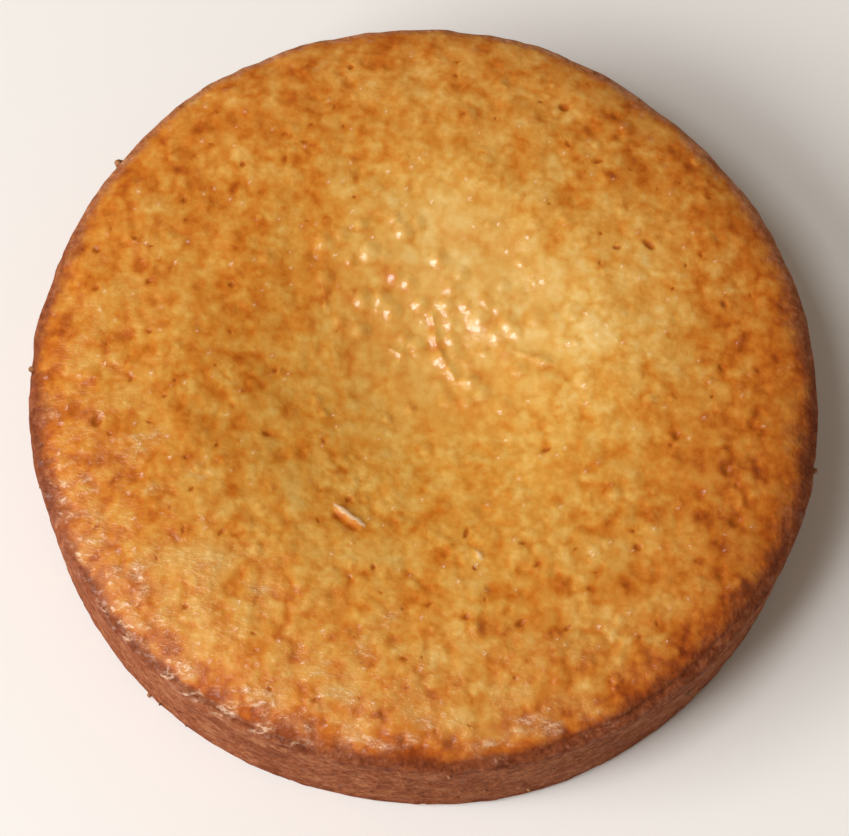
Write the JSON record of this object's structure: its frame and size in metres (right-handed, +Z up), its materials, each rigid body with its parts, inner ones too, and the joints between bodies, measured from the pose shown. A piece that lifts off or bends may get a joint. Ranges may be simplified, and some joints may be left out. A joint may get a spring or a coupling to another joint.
{
  "type": "tea cake",
  "caption": "Round uncut butter sponge from a slightly tapered tin, with a browned crust, a soft rounded shoulder and a shallow sunken middle.",
  "frame": {"origin": "middle of the flat base, on the surface the cake stands on", "axes": "+Z up through the crust; +X to the right and +Y away when the cake is seen from its front"},
  "size_m": [0.18, 0.18, 0.0438],
  "materials": {
    "crust": "golden-brown baked crust with a fine crumb, satin where the butter shows, browner at the rim and wall"
  },
  "bodies": {
    "root": {"tea_cake": "crust"}
  },
  "joints": []
}
